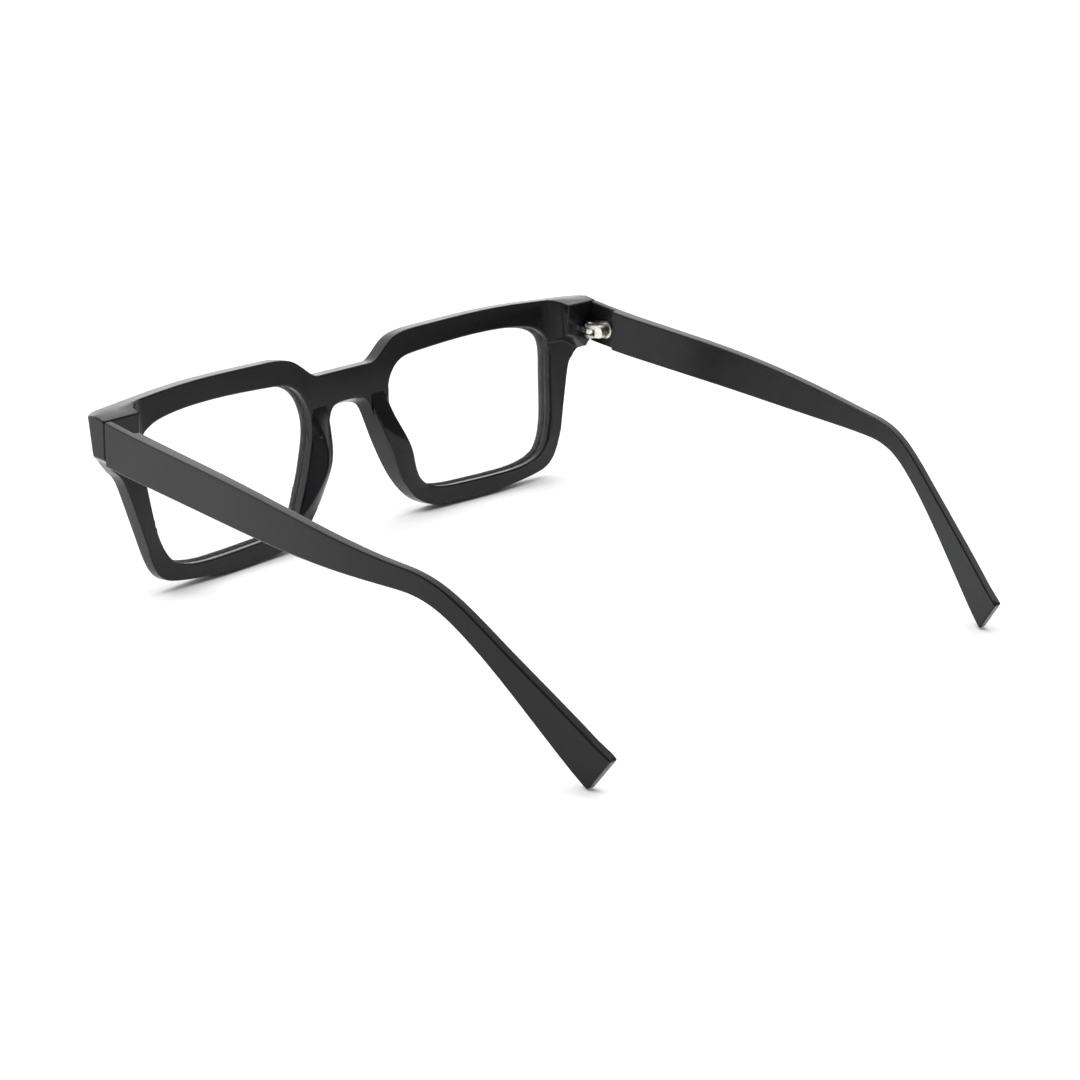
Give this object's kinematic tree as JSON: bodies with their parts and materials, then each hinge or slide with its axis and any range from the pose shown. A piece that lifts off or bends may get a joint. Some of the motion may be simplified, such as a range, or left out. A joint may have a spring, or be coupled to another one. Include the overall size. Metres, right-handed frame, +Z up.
{
  "type": "eyeglasses frame",
  "caption": "Rectangular full-rim black acetate eyeglasses frame with bonded nose pads, clear lenses and folding temples on barrel hinges.",
  "frame": {"origin": "middle of the frame's outer box, on the surface that the rims and the temple tips stand on", "axes": "+Z up; +X towards the wearer's left; +Y from the front towards the temple tips, so the front faces -Y"},
  "size_m": [0.1436, 0.1435, 0.0425],
  "materials": {
    "black_acetate": "polished",
    "clear_lens": "clear polished",
    "nickel_silver": "polished",
    "stainless_steel": "polished",
    "spring_steel": "satin"
  },
  "bodies": {
    "front": {"frame_front": "black_acetate", "nose_pad_left": "black_acetate", "nose_pad_right": "black_acetate", "lens_left": "clear_lens", "lens_right": "clear_lens", "front_hinge_leaf_left": "nickel_silver", "front_hinge_leaf_right": "nickel_silver"},
    "temple_arm_left": {"temple_left": "black_acetate", "temple_core_wire_left": "spring_steel", "temple_hinge_leaf_left": "nickel_silver", "hinge_screw_left": "stainless_steel"},
    "temple_arm_right": {"temple_right": "black_acetate", "temple_core_wire_right": "spring_steel", "temple_hinge_leaf_right": "nickel_silver", "hinge_screw_right": "stainless_steel"}
  },
  "joints": [
    {"name": "temple_fold_left", "type": "hinge", "parent": "front", "child": "temple_arm_left", "pos_m": [0.06745, -0.0575, 0.03488], "axis": [0, 0, 1], "range_deg": [0, 84]},
    {"name": "temple_fold_right", "type": "hinge", "parent": "front", "child": "temple_arm_right", "pos_m": [-0.06745, -0.0575, 0.03488], "axis": [0, 0, -1], "range_deg": [0, 77]}
  ]
}
